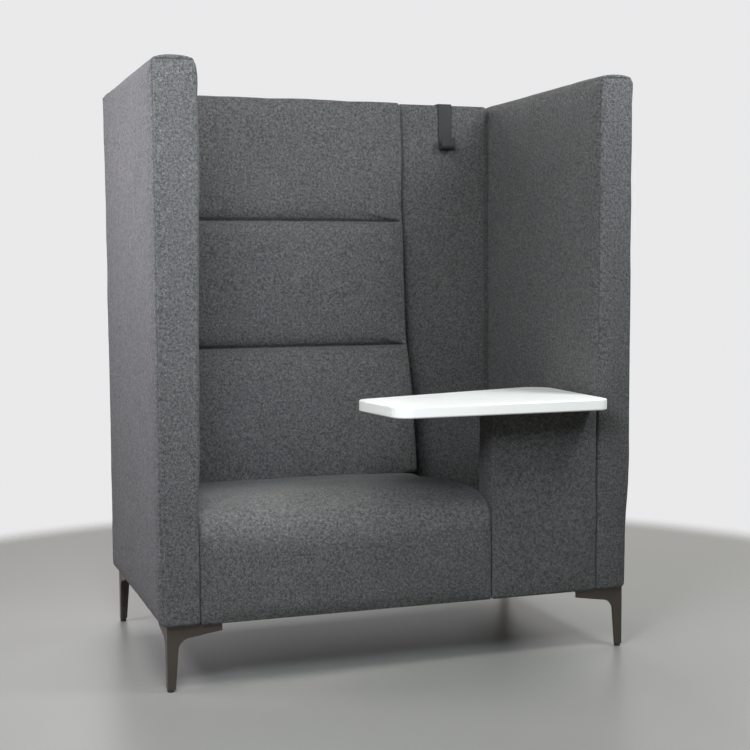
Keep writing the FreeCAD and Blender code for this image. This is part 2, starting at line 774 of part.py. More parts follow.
# Coat hanger: one flat strip bent over the back's top edge, with its lower end turned up as the hook
off = size["hanger_gap"] + size["hanger_thickness"] / 2
front_plane = size["coat_y"] - off
rear_plane = size["rear_y"] + off
strip_top = size["height"] + off
hook_plane = front_plane - size["hook_throat"] - size["hanger_thickness"]
hook_low = size["height"] - size["hanger_front"]
hanger_x = size["inner_x"] - size["hanger_place"]
hanger_points = [
    Vector(hanger_x, rear_plane, size["height"] - size["hanger_rear"]),
    Vector(hanger_x, rear_plane, strip_top),
    Vector(hanger_x, front_plane, strip_top),
    Vector(hanger_x, front_plane, hook_low),
    Vector(hanger_x, hook_plane, hook_low),
    Vector(hanger_x, hook_plane, hook_low + size["hook_rise"]),
]
half_strip = size["hanger_thickness"] / 2
top_radius = size["hanger_bend"] + half_strip
hook_radius = size["hook_bend"] + half_strip
path = bent_path(hanger_points, (top_radius, top_radius, hook_radius, hook_radius))
start = hanger_points[0]
half_hanger = size["hanger_width"] / 2
strip_corners = [start + Vector(x, y, 0) for x, y in (
    (-half_hanger, -half_strip), (half_hanger, -half_strip),
    (half_hanger, half_strip), (-half_hanger, half_strip))]
strip_section = Part.makePolygon(strip_corners + strip_corners[:1])
keep(feature("coat_hanger", path.makePipeShell([strip_section], True, False)), "coat_hanger")

# Every feature and every sub-part has to be sound before anything is written
doc.recompute()
for item in doc.Objects:
    broken = [word for word in item.State if word in ("Invalid", "Error")]
    if broken:
        raise RuntimeError(f"{item.Label} is {broken[0]}")
for item in parts:
    if item.Shape.isNull() or not item.Shape.isValid():
        raise RuntimeError(f"{item.Label} has no valid shape")

os.makedirs("parts", exist_ok=True)
for item in parts:
    item.Shape.exportStep(f"parts/{item.Label}.step")
    print(item.Label, len(item.Shape.Solids), round(item.Shape.Volume))
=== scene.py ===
import json
import math
import bpy
import numpy as np
from mathutils import Matrix, Vector

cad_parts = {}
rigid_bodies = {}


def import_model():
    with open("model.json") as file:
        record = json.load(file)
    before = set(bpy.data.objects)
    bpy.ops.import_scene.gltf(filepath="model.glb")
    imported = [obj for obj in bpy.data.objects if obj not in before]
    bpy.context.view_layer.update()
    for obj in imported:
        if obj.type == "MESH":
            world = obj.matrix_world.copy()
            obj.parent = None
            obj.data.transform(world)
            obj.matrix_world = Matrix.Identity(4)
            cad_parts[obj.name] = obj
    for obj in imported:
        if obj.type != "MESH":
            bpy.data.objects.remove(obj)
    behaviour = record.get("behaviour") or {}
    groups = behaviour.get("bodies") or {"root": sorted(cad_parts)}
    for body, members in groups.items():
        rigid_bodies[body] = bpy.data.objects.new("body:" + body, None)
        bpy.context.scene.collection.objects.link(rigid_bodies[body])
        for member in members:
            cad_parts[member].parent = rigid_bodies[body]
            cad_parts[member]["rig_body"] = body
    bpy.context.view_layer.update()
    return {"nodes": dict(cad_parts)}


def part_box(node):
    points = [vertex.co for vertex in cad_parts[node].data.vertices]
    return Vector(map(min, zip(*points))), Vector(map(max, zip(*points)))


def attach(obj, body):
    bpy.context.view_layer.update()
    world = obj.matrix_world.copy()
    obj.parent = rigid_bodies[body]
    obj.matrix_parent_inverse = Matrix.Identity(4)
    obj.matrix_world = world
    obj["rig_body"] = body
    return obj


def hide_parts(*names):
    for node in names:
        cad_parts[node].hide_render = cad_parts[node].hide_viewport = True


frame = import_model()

scene = bpy.context.scene
print("frame loaded:", len(frame["nodes"]), "nodes")


# Grids and rounded blocks

def gridLines(low, high, radius, step, marks=()):
    # lines across one side: even angles over both roundings, even steps between them,
    # and closer steps beside each mark
    bend = radius * np.tan(np.radians(np.linspace(45, 0, 8)))
    flat = np.linspace(low + radius, high - radius, max(3, round((high - low - 2 * radius) / step) + 1))
    lines = np.concatenate([low + radius - bend, flat[1:-1], high - radius + bend])
    beside = np.array([0, 0.0008, 0.002, 0.004, 0.0065, 0.0095, 0.013, 0.018])
    for mark in marks:
        lines = lines[np.abs(lines - mark) > beside[-1] + step / 3]
        lines = np.concatenate([lines, mark - beside, mark + beside])
    return np.unique(np.round(lines, 6))


def blockGrid(lines):
    # six flat grids, one for each side of a box, with the doubles along its edges merged
    sheets, rings, start = [], [], 0
    for axis in range(3):
        first, second = (axis + 1) % 3, (axis + 2) % 3
        for end in (0, -1):
            a, b = np.meshgrid(lines[first], lines[second], indexing="ij")
            sheet = np.empty(a.shape + (3,))
            sheet[..., axis] = lines[axis][end]
            sheet[..., first] = a
            sheet[..., second] = b
            number = start + np.arange(a.size).reshape(a.shape)
            ring = [number[:-1, :-1], number[1:, :-1], number[1:, 1:], number[:-1, 1:]]
            rings.append(np.stack(ring if end else ring[::-1], -1).reshape(-1, 4))
            sheets.append(sheet)
            start += a.size
    places = np.concatenate([sheet.reshape(-1, 3) for sheet in sheets])
    merged, number = np.unique(np.round(places, 6), axis=0, return_inverse=True)
    number = number.ravel()
    shares = np.cumsum([0] + [sheet.shape[0] * sheet.shape[1] for sheet in sheets])
    numbers = [number[shares[i]:shares[i + 1]].reshape(sheets[i].shape[:2]) for i in range(6)]
    return merged, number[np.concatenate(rings)], numbers


def roundOff(places, low, high, radius):
    # a point's way out from the box's core is cut to the radius, and its direction is the normal
    core = np.clip(places, low + radius, high - radius)
    way = places - core
    normals = way / np.maximum(np.linalg.norm(way, axis=1, keepdims=True), 1e-9)
    return core + normals * radius, normals


def edgeWays(places, low, high):
    # distances of each point from the six sides of its box
    return (places - low).T, (high - places).T


def blunt(points, first, second, full=2.0):
    # corner of a section turned into a superellipse; each way is (axis, edge, where the turn begins)
    ways = (first, second)
    shares = [np.clip((points[:, axis] - inner) / (edge - inner), 0, 1) for axis, edge, inner in ways]
    length = (shares[0] ** full + shares[1] ** full) ** (1 / full)
    scale = np.where(np.minimum(*shares) > 0, np.maximum(*shares) / np.maximum(length, 1e-9), 1)
    for axis, _, inner in ways:
        turned = inner + (points[:, axis] - inner) * scale
        points[:, axis] = np.where(scale < 1, turned, points[:, axis])


def roll(way, length):
    # quarter circle: rises steeply from a seam and is level at the given length
    return np.sqrt(1 - (1 - np.clip(way / length, 0, 1)) ** 2)


def ease(value):
    # smooth step: three times the square less twice the cube of the share from 0 to 1
    share = np.clip(value, 0, 1)
    return share * share * (3 - 2 * share)


def seamCut(way, depth, width):
    # bell curve over the distance from a seam
    return depth * np.exp(-(way / width) ** 2)


def uneven(points, seed, length, height, waves=14):
    # sum of sine waves with seeded directions, lengths and phases
    rng = np.random.default_rng(seed)
    ways = rng.normal(size=(waves, 3))
    ways /= np.linalg.norm(ways, axis=1, keepdims=True)
    ways *= (2 * np.pi / (length * rng.uniform(0.7, 1.5, waves)))[:, None]
    phases = rng.uniform(0, 2 * np.pi, waves)
    return np.sin(points @ ways.T + phases).sum(1) * height / math.sqrt(waves)


# Cloth: pressure swells a cover between the lines where it is sewn or held

clothSet = {"frames": 20, "mass": 0.35, "tension": 25, "bending": 2, "damping": 12, "air": 2, "quality": 4}


def inflate(name, points, quads, held, pressure, cap):
    # a point's move is softened to cap times tanh(move / cap)
    mesh = bpy.data.meshes.new(name)
    mesh.from_pydata(points.tolist(), [], quads.tolist())
    cover = bpy.data.objects.new(name, mesh)
    scene.collection.objects.link(cover)
    group = cover.vertex_groups.new(name="held")
    group.add(np.flatnonzero(held).tolist(), 1.0, "REPLACE")
    cloth = cover.modifiers.new("cloth", "CLOTH")
    sewn = cloth.settings
    sewn.quality = clothSet["quality"]
    sewn.mass = clothSet["mass"]
    sewn.tension_stiffness = clothSet["tension"]
    sewn.compression_stiffness = clothSet["tension"]
    sewn.shear_stiffness = clothSet["tension"] / 2
    sewn.bending_stiffness = clothSet["bending"]
    sewn.tension_damping = clothSet["damping"]
    sewn.air_damping = clothSet["air"]
    sewn.vertex_group_mass = "held"
    sewn.use_pressure = True
    sewn.uniform_pressure_force = pressure
    sewn.effector_weights.gravity = 0
    cloth.point_cache.frame_end = clothSet["frames"]
    for number in range(1, clothSet["frames"] + 1):
        scene.frame_set(number)
    swollen = cover.evaluated_get(bpy.context.evaluated_depsgraph_get())
    flat = np.empty(len(points) * 3, np.float32)
    swollen.data.vertices.foreach_get("co", flat)
    move = flat.reshape(-1, 3) - points
    bpy.data.objects.remove(cover)
    bpy.data.meshes.remove(mesh)
    scene.frame_set(1)
    length = np.linalg.norm(move, axis=1, keepdims=True)
    print("  cloth", name, len(points), "points, mean move mm", round(float(length.mean()) * 1000, 2))
    return move * (cap * np.tanh(length / cap) / np.maximum(length, 1e-9))


def spread(move, coarse, numbers, fine, fineNumbers, count):
    # carries moves from a coarse grid to a fine one, linear along both ways of each side
    found = np.zeros((count, 3))
    for axis in range(3):
        first, second = (axis + 1) % 3, (axis + 2) % 3
        weights = [np.stack([np.interp(fine[i], coarse[i], unit) for unit in np.eye(len(coarse[i]))], 1)
                   for i in (first, second)]
        for side in (2 * axis, 2 * axis + 1):
            block = np.einsum("ai,ijk,bj->abk", weights[0], move[numbers[side]], weights[1])
            found[fineNumbers[side].ravel()] = block.reshape(-1, 3)
    return found


def newPiece(name, points, quads, material):
    mesh = bpy.data.meshes.new(name)
    mesh.from_pydata(points.tolist(), [], quads.tolist())
    mesh.polygons.foreach_set("use_smooth", np.ones(len(quads), bool))
    mesh.materials.append(material)
    mesh.update()
    piece = bpy.data.objects.new(name, mesh)
    scene.collection.objects.link(piece)
    return piece


def softPiece(name, nodes, low, high, cover, shape, heldPoints, marks=((), (), ()), paintedSeamShade=None):
    # the shape on a coarse grid is swollen as cloth, and the same shape on a fine grid takes the swelling
    # over; painted shade along its seams is a point attribute for the cloth's material
    def linesFor(step):
        return [gridLines(low[i], high[i], cover["radius"], step, marks[i]) for i in range(3)]
    fineLines = linesFor(cover["step"])
    places, quads, numbers = blockGrid(fineLines)
    points = shape(places, True)
    coarseLines = linesFor(cover["clothStep"])
    coarsePlaces, coarseQuads, coarseNumbers = blockGrid(coarseLines)
    move = inflate(name, shape(coarsePlaces, False), coarseQuads, heldPoints(coarsePlaces),
                   cover["pressure"], cover["cap"])
    points = points + spread(move, coarseLines, coarseNumbers, fineLines, numbers, len(points))
    piece = newPiece(name, points, quads, upholstery)
    # painted shade: a point mask that darkens the cloth's colour along the seam grooves
    if paintedSeamShade:
        paintedShadeLayer = piece.data.attributes.new("seam", "FLOAT", "POINT")
        paintedShadeLayer.data.foreach_set("value", paintedSeamShade(places).astype(np.float32))
    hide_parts(*nodes)
    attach(piece, "booth")
    print("made", name, len(quads), "quads")
    return piece


def touches(way):
    # true where a point lies on the side from which its way is measured
    return way < 1e-6


def onEdge(*ways):
    # true where a point lies on at least two sides
    return sum(touches(way).astype(int) for way in ways) > 1


# Materials

def newMaterial(name):
    material = bpy.data.materials.new(name)
    material.use_nodes = True
    tree = material.node_tree
    shader = tree.nodes["Principled BSDF"]
    place = tree.nodes.new("ShaderNodeTexCoord").outputs["Object"]
    return material, tree, shader, place


def addNode(tree, kind, links=None, **values):
    # a node with its settings and sockets: a socket's value is a number, a colour or a node's output
    node = tree.nodes.new(kind)
    for key, value in values.items():
        setattr(node, key, value)
    for key, value in (links or {}).items():
        if isinstance(value, bpy.types.NodeSocket):
            tree.links.new(value, node.inputs[key])
        else:
            node.inputs[key].default_value = value
    return node


def addRamp(tree, factor, stops):
    ramp = addNode(tree, "ShaderNodeValToRGB", {"Fac": factor})
    marks = ramp.color_ramp.elements
    while len(marks) < len(stops):
        marks.new(0.5)
    for mark, (place, colour) in zip(marks, stops):
        mark.position = place
        mark.color = (*colour, 1) if len(colour) == 3 else colour
    return ramp.outputs["Color"]


def addMix(tree, factor, first, second, blend="MIX"):
    mix = addNode(tree, "ShaderNodeMix", {"Factor": factor, "A": first, "B": second},
                  data_type="RGBA", blend_type=blend)
    return mix.outputs["Result"]


def grey(value):
    return (value, value, value)


def newGroup(name, inputs, outputs):
    group = bpy.data.node_groups.new(name, "ShaderNodeTree")
    for label, kind, value in inputs:
        socket = group.interface.new_socket(label, in_out="INPUT", socket_type=kind)
        if value is not None:
            socket.default_value = value
    for label, kind in outputs:
        group.interface.new_socket(label, in_out="OUTPUT", socket_type=kind)
    return group, group.nodes.new("NodeGroupInput").outputs, group.nodes.new("NodeGroupOutput").inputs


def heatherGroup():
    # felted yarn: soft flecks between two tones, longer along the depth, single dark and light fibres,
    # and a little tint from fleck to fleck
    group, given, out = newGroup(
        "heatherFleck",
        [("Place", "NodeSocketVector", None), ("Fleck", "NodeSocketFloat", 100.0),
         ("Dark", "NodeSocketColor", None), ("Light", "NodeSocketColor", None),
         ("Dark Fibre", "NodeSocketColor", None), ("Light Fibre", "NodeSocketColor", None)],
        [("Colour", "NodeSocketColor"), ("Height", "NodeSocketFloat"), ("Rough", "NodeSocketFloat")])
    place = given["Place"]
    pile = addNode(group, "ShaderNodeMapping", {"Vector": place, "Scale": (1.0, 0.74, 1.0)}).outputs[0]
    fleck = addNode(
        group, "ShaderNodeTexNoise",
        {"Vector": pile, "Scale": given["Fleck"], "Detail": 2.0, "Roughness": 0.55, "Distortion": 0.15})
    fibreScale = addNode(group, "ShaderNodeMath", {0: given["Fleck"], 1: 2.9}, operation="MULTIPLY")
    fibre = addNode(
        group, "ShaderNodeTexNoise",
        {"Vector": pile, "Scale": fibreScale.outputs[0], "Detail": 2.0, "Roughness": 0.7,
         "Distortion": 0.4})
    nubScale = addNode(group, "ShaderNodeMath", {0: given["Fleck"], 1: 2.2}, operation="MULTIPLY")
    nub = addNode(group, "ShaderNodeTexVoronoi", {"Vector": place, "Scale": nubScale.outputs[0]})
    tone = addNode(group, "ShaderNodeTexNoise", {"Vector": place, "Scale": 7.0, "Detail": 3.0})
    fleckMask = addRamp(group, fleck.outputs["Fac"], [(0.34, grey(0)), (0.66, grey(1))])
    darkMask = addRamp(group, fibre.outputs["Fac"], [(0.30, grey(1)), (0.42, grey(0))])
    lightMask = addRamp(group, fibre.outputs["Fac"], [(0.56, grey(0)), (0.68, grey(1))])
    mixed = addMix(group, fleckMask, given["Dark"], given["Light"])
    mixed = addMix(group, darkMask, mixed, given["Dark Fibre"])
    mixed = addMix(group, lightMask, mixed, given["Light Fibre"])
    tinted = addMix(group, 0.2, mixed, fleck.outputs["Color"], "SOFT_LIGHT")
    toneColour = addRamp(group, tone.outputs["Fac"], [(0.3, grey(0.94)), (0.7, grey(1.0))])
    toned = addMix(group, 1.0, tinted, toneColour, "MULTIPLY")
    height = addNode(group, "ShaderNodeMath", {0: fibre.outputs["Fac"], 1: nub.outputs["Distance"]},
                     operation="SUBTRACT")
    rough = addNode(group, "ShaderNodeMapRange",
                    {"Value": fibre.outputs["Fac"], "To Min": 0.82, "To Max": 0.97})
    group.links.new(toned, out["Colour"])
    group.links.new(height.outputs[0], out["Height"])
    group.links.new(rough.outputs[0], out["Rough"])
    return group


def speckleGroup():
    # painted or moulded skin: a fine uneven height, with clouds of rubbed gloss and tone
    group, given, out = newGroup(
        "finishSpeckle",
        [("Place", "NodeSocketVector", None), ("Grain", "NodeSocketFloat", 900.0),
         ("Clouds", "NodeSocketFloat", 12.0),
         ("Colour", "NodeSocketColor", None), ("Worn", "NodeSocketColor", None),
         ("Rough Low", "NodeSocketFloat", 0.35), ("Rough High", "NodeSocketFloat", 0.5)],
        [("Colour", "NodeSocketColor"), ("Height", "NodeSocketFloat"), ("Rough", "NodeSocketFloat")])
    place = given["Place"]
    grain = addNode(group, "ShaderNodeTexNoise", {"Vector": place, "Scale": given["Grain"], "Detail": 2.0})
    clouds = addNode(group, "ShaderNodeTexNoise",
                     {"Vector": place, "Scale": given["Clouds"], "Detail": 5.0, "Roughness": 0.6})
    mask = addRamp(group, clouds.outputs["Fac"], [(0.35, grey(0)), (0.7, grey(1))])
    colour = addMix(group, mask, given["Colour"], given["Worn"])
    rough = addNode(group, "ShaderNodeMapRange",
                    {"Value": clouds.outputs["Fac"], "From Min": 0.3, "From Max": 0.7,
                     "To Min": given["Rough Low"], "To Max": given["Rough High"]})
    group.links.new(colour, out["Colour"])
    group.links.new(grain.outputs["Fac"], out["Height"])
    group.links.new(rough.outputs[0], out["Rough"])
    return group


heatherFleck = heatherGroup()
finishSpeckle = speckleGroup()


def dress(tree, shader, group, place, inputs, bump):
    # a group's colour, roughness and height go to the shader, the height through a bump, which is given
    # as strength and depth
    node = addNode(tree, "ShaderNodeGroup", node_tree=group)
    tree.links.new(place, node.inputs["Place"])
    for key, value in inputs.items():
        node.inputs[key].default_value = (*value, 1) if isinstance(value, tuple) else value
    strength, depth = bump
    lift = addNode(tree, "ShaderNodeBump",
                   {"Height": node.outputs["Height"], "Strength": strength, "Distance": depth})
    tree.links.new(node.outputs["Colour"], shader.inputs["Base Color"])
    tree.links.new(node.outputs["Rough"], shader.inputs["Roughness"])
    tree.links.new(lift.outputs["Normal"], shader.inputs["Normal"])
    return node


# the seam share is the part of the dark tone that is used as painted shade in the seam grooves
clothShares = {"darkFibre": 0.6, "lightFibre": 2.0, "seam": 0.3, "sheenRough": 0.45, "specular": 0.15}
clothFinishes = {
    "heatherGreyWool": {"fleck": 160.0, "dark": (0.0470, 0.0464, 0.0450), "light": (0.1045, 0.1030, 0.0995),
                        "bump": (0.6, 0.001), "sheen": 0.07},
    "darkFelt": {"fleck": 300.0, "dark": (0.040, 0.040, 0.042), "light": (0.070, 0.070, 0.074),
                 "bump": (0.5, 0.001), "sheen": 0.15},
    "blackNonWoven": {"fleck": 500.0, "dark": grey(0.014), "light": grey(0.028),
                      "bump": (0.4, 0.0006), "sheen": 0.1},
    "elasticWebbing": {"fleck": 400.0, "dark": grey(0.028), "light": grey(0.055),
                       "bump": (0.5, 0.001), "sheen": 0.1},
}


def clothMaterial(name):
    # flecked wool whose dark and light fibres are multiples of its two tones; where the seam attribute
    # says so it goes over to a share of the dark one, as painted shade in the seam grooves
    own = clothFinishes[name]
    material, tree, shader, place = newMaterial(name)
    inputs = {"Fleck": own["fleck"], "Dark": own["dark"], "Light": own["light"],
              "Dark Fibre": tuple(clothShares["darkFibre"] * c for c in own["dark"]),
              "Light Fibre": tuple(clothShares["lightFibre"] * c for c in own["light"])}
    wool = dress(tree, shader, heatherFleck, place, inputs, own["bump"])
    # painted shade: the seam attribute mixes the wool towards a darker tone along the seam grooves
    seam = addNode(tree, "ShaderNodeAttribute", attribute_name="seam")
    paintedSeamShadeTone = (*(clothShares["seam"] * c for c in own["dark"]), 1)
    paintedSeamShadeColour = addMix(tree, seam.outputs["Fac"], wool.outputs["Colour"], paintedSeamShadeTone)
    tree.links.new(paintedSeamShadeColour, shader.inputs["Base Color"])
    shader.inputs["Sheen Weight"].default_value = own["sheen"]
    shader.inputs["Sheen Roughness"].default_value = clothShares["sheenRough"]
    shader.inputs["Specular IOR Level"].default_value = clothShares["specular"]
    return material


skinFinishes = {
    "whiteLaminate": {"colour": (0.86, 0.845, 0.79), "worn": (0.83, 0.815, 0.765), "rough": (0.34, 0.46),
                      "grain": 600.0, "bump": (0.05, 0.0004), "metallic": 0.0, "specular": 0.5},
    "darkBronze": {"colour": (0.045, 0.036, 0.028), "worn": (0.056, 0.045, 0.035), "rough": (0.36, 0.5),
                   "grain": 1200.0, "bump": (0.12, 0.0004), "metallic": 0.25, "specular": 0.5},
    "greyPowderCoat": {"colour": (0.019, 0.019, 0.018), "worn": (0.024, 0.024, 0.023), "rough": (0.5, 0.62),
                       "grain": 1500.0, "bump": (0.3, 0.0004), "metallic": 0.0, "specular": 0.25},
    "blackGlide": {"colour": grey(0.014), "worn": grey(0.024), "rough": (0.4, 0.55),
                   "grain": 800.0, "bump": (0.2, 0.0004), "metallic": 0.0, "specular": 0.5},
    "zincPlate": {"colour": (0.55, 0.55, 0.54), "worn": (0.46, 0.46, 0.45), "rough": (0.28, 0.45),
                  "grain": 900.0, "bump": (0.1, 0.0003), "metallic": 1.0, "specular": 0.5},
}


def skinMaterial(name):
    # speckled skin between a fresh and a worn tone
    own = skinFinishes[name]
    material, tree, shader, place = newMaterial(name)
    inputs = {"Colour": own["colour"], "Worn": own["worn"], "Rough Low": own["rough"][0],
              "Rough High": own["rough"][1], "Grain": own["grain"]}
    dress(tree, shader, finishSpeckle, place, inputs, own["bump"])
    shader.inputs["Metallic"].default_value = own["metallic"]
    shader.inputs["Specular IOR Level"].default_value = own["specular"]
    return material


def timberMaterial():
    # year rings as noise stretched along the rails
    material, tree, shader, place = newMaterial("rawTimber")
    mapped = addNode(tree, "ShaderNodeMapping", {"Vector": place, "Scale": (60, 60, 4)})
    grain = addNode(tree, "ShaderNodeTexNoise",
                    {"Vector": mapped.outputs[0], "Scale": 1.0, "Detail": 6.0, "Distortion": 0.8})
    colour = addRamp(tree, grain.outputs["Fac"], [(0.3, (0.42, 0.27, 0.14)), (0.7, (0.68, 0.5, 0.31))])
    lift = addNode(tree, "ShaderNodeBump",
                   {"Height": grain.outputs["Fac"], "Strength": 0.2, "Distance": 0.001})
    tree.links.new(colour, shader.inputs["Base Color"])
    tree.links.new(lift.outputs["Normal"], shader.inputs["Normal"])
    shader.inputs["Roughness"].default_value = 0.7
    return material


upholstery = clothMaterial("heatherGreyWool")
feltMat = clothMaterial("darkFelt")
dustCloth = clothMaterial("blackNonWoven")
webbing = clothMaterial("elasticWebbing")
whiteLaminate = skinMaterial("whiteLaminate")
bronzeMetal = skinMaterial("darkBronze")
hangerSteel = skinMaterial("greyPowderCoat")
glidePlastic = skinMaterial("blackGlide")
zincSteel = skinMaterial("zincPlate")
rawTimber = timberMaterial()
print("materials made")


# Upholstered pieces

# the three shade entries set painted shade along the panel's upright front seam and its top seam
panelCover = {"radius": 0.008, "step": 0.010, "clothStep": 0.026, "pressure": 2.0, "cap": 0.0022,
              "outPuff": 0.0035, "inPuff": 0.004, "frontPuff": 0.002, "rollLength": 0.024, "topFade": 0.045,
              "seam": (0.0020, 0.0019), "topSeam": (0.0045, 0.0015), "seamEnds": (0.005, 0.012),
              "sidePaintedShade": (0.35, 0.0015), "topPaintedShade": (0.6, 0.0016), "paintedShadeRise": (0.45, 0.3),
              "drop": 0.0006, "heel": 0.018, "shoulder": (0.009, 0.018), "lowTurn": 0.026,
              "lowFade": (0.62, 0.4), "lowSeamLoss": 0.85, "limitRise": (0.5, 0.4), "limitFade": 0.14,
              "domeFull": 2.4, "frontRoll": 0.014,
              "wave": (0.16, 0.0006), "ripple": (0.05, 0.0002)}
panelSides = {
    "left": {"heights": (0.15, 0.43, 0.55, 0.85, 1.05, 1.22, 1.34, 1.45),
             "outer": (2, 3, 3, 3.5, 4, 4.5, 5, 5.5), "inner": (0, 0, 3, 5.5, 9, 11.5, 10, 8.5),
             "top": 0.0095, "backRoll": 0.008, "shoulders": 1, "seed": 3,
             "free": (0.43, 0.10, 0.16, 0.30)},
    "right": {"heights": (0.15, 0.23, 0.38, 0.50, 0.80, 1.10, 1.45),
              "outer": (-2, -1, 2, 4, 4.5, 5, 5.5), "inner": (0, 0, 0, 0, 0, 0, -2),
              "top": 0.0085, "backRoll": 0.06, "shoulders": 2, "seed": 4,
              "free": (0.66, 0.14, 0.29, 0.335)},
}


def makeSidePanel(side):
    # boxed panel: both faces lean by profiles in mm over the height and swell from the seams inward,
    # the inner one only where no other piece lies against it; the top is domed, across = 1 at its edges,
    # and its seam is cut level into the front and back of the dome
    node = side + "_side_cover"
    own, cover = panelSides[side], panelCover
    low, high = (np.array(corner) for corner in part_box(node))
    low[2] -= cover["drop"]
    half = (high[0] - low[0]) / 2
    out = -1 if side == "left" else 1
    innerX, outerX = (high[0], low[0]) if side == "left" else (low[0], high[0])
    seatZ, seatRise, limitLow, limitHigh = own["free"]

    def shape(places, sewn):
        points, normals = roundOff(places, low, high, cover["radius"])
        fromLow, fromHigh = edgeWays(places, low, high)
        fromOuter, fromInner = fromLow[0], fromHigh[0]
        if side == "right":
            fromOuter, fromInner = fromInner, fromOuter
        ends = np.minimum(fromLow[1], fromHigh[1])
        rim = np.minimum(ends, np.minimum(fromLow[2], fromHigh[2]))
        band = np.minimum(fromOuter, fromInner)
        outward = normals[:, 0] * out
        y, z = places[:, 1], places[:, 2]
        blunt(points, (1, high[1], high[1] - cover["heel"]), (2, low[2], low[2] + cover["heel"]))
        lowShare = ease((cover["lowFade"][0] - z) / cover["lowFade"][1])
        turn = cover["lowTurn"] * lowShare + 1e-6
        blunt(points, (0, outerX, outerX - out * turn), (1, low[1], low[1] + turn))
        for edge, way in ((innerX, out), (outerX, -out))[:own["shoulders"]]:
            blunt(points, (0, edge, edge + way * cover["shoulder"][0]),
                  (2, high[2], high[2] - cover["shoulder"][1]))
        limitShare = ease((z - cover["limitRise"][0]) / cover["limitRise"][1])
        limit = limitLow + (limitHigh - limitLow) * limitShare
        clear = ease((limit - y) / cover["limitFade"])
        free = ease((z - seatZ) / seatRise) * clear
        outerLean = np.interp(z, own["heights"], own["outer"]) / 1000
        innerLean = np.interp(z, own["heights"], own["inner"]) / 1000
        lean = outerLean * fromInner / (2 * half) - innerLean * clear * fromOuter / (2 * half)
        swell = cover["outPuff"] * np.maximum(outward, 0) - cover["inPuff"] * free * np.maximum(-outward, 0)
        swell = swell * roll(rim, cover["rollLength"]) * ease((fromHigh[2] + fromInner) / cover["topFade"])
        points[:, 0] += out * (lean + swell)
        points[:, 1] += normals[:, 1] * cover["frontPuff"] * roll(band, cover["rollLength"])
        across = 1 - band / half
        dome = 1 - across ** cover["domeFull"]
        dome = dome * roll(fromLow[1], cover["frontRoll"]) * roll(fromHigh[1], own["backRoll"])
        points[:, 2] += np.maximum(normals[:, 2], 0) * own["top"] * dome
        if sewn:
            clearEnds = ease((ends + fromHigh[2] + band - cover["seamEnds"][0]) / cover["seamEnds"][1])
            groove = seamCut(fromOuter + rim, *cover["seam"]) * (1 - cover["lowSeamLoss"] * lowShare)
            wave = uneven(points, own["seed"], *cover["wave"]) + uneven(points, 5, *cover["ripple"])
            points += normals * (wave - groove * clearEnds)[:, None]
            topCut = seamCut(ends + fromHigh[2], *cover["topSeam"])
            points[:, 1] -= np.sign(normals[:, 1]) * topCut * clearEnds
        return points

    def held(places):
        fromLow, fromHigh = edgeWays(places, low, high)
        return onEdge(*fromLow, *fromHigh) | touches(fromLow[2])

    # painted shade: darker along the upright front seam above a given height and along the top seam, where
    # the grooves' shade falls
    def paintedSeamShade(places):
        fromLow, fromHigh = edgeWays(places, low, high)
        uprightPaintedShade = seamCut(fromLow[1] + np.minimum(fromLow[0], fromHigh[0]), *cover["sidePaintedShade"])
        uprightPaintedShade *= ease((places[:, 2] - cover["paintedShadeRise"][0]) / cover["paintedShadeRise"][1])
        level = seamCut(fromLow[1] + fromHigh[2], *cover["topPaintedShade"])
        return np.maximum(uprightPaintedShade, level)

    return softPiece(side + "_side_panel", [node], low, high, cover, shape, held, paintedSeamShade=paintedSeamShade)


for side in ("left", "right"):
    makeSidePanel(side)

backCover = {"radius": 0.010, "step": 0.012, "clothStep": 0.024, "pressure": 1.5, "cap": 0.0018,
             "inset": 0.0024, "seam": (0.0014, 0.0024), "drop": 0.0006, "wave": (0.15, 0.0003)}


def makeFlatCover(name, node, cover, seamSide, drop, corners=()):
    # slab with rounded edges, a seam along the edges of one side, and some edges blunted further:
    # each is two ends of the box, such as (0, 1) for the high end along X, and the reach of the turn
    low, high = (np.array(corner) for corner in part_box(node))
    low[2] -= drop

    def turn(axis, end, reach):
        edge = (low, high)[end][axis]
        return axis, edge, edge + reach * (1 - 2 * end)

    def shape(places, sewn):
        points, normals = roundOff(places, low, high, cover["radius"])
        fromLow, fromHigh = edgeWays(places, low, high)
        points = points - normals * np.array([0, cover["inset"], 0])
        for first, second, reach in corners:
            blunt(points, turn(*first, reach), turn(*second, reach))
        if sewn:
            rim = np.min([fromLow[0], fromHigh[0], fromLow[2], fromHigh[2]], 0)
            groove = seamCut(rim + (fromLow[1] if seamSide == "front" else fromHigh[1]), *cover["seam"])
            wave = uneven(points, 11, *cover["wave"]) * (1 - np.abs(normals[:, 2]))
            points += normals * (wave - groove)[:, None]
        return points

    def held(places):
        fromLow, fromHigh = edgeWays(places, low, high)
        return onEdge(*fromLow, *fromHigh) | touches(fromLow[2]) | touches(fromHigh[2])

    return softPiece(name, [node], low, high, cover, shape, held)


makeFlatCover("back_panel", "back_cover", backCover, "rear", backCover["drop"])

coatCover = dict(backCover, radius=0.0115, inset=0.0030, seam=(0.0, 0.0024))
makeFlatCover("coat_section", "coat_pad", coatCover, "front", 0,
              (((0, 0), (2, 1), 0.010), ((0, 1), (2, 1), 0.019), ((0, 1), (1, 0), 0.020)))

supportCover = dict(backCover, radius=0.006, cap=0.003, seam=(0.0010, 0.0024), clothStep=0.018, step=0.009,
                    wave=(0.15, 0.0006))
makeFlatCover("support_panel", "support_cover", supportCover, "front", supportCover["drop"])

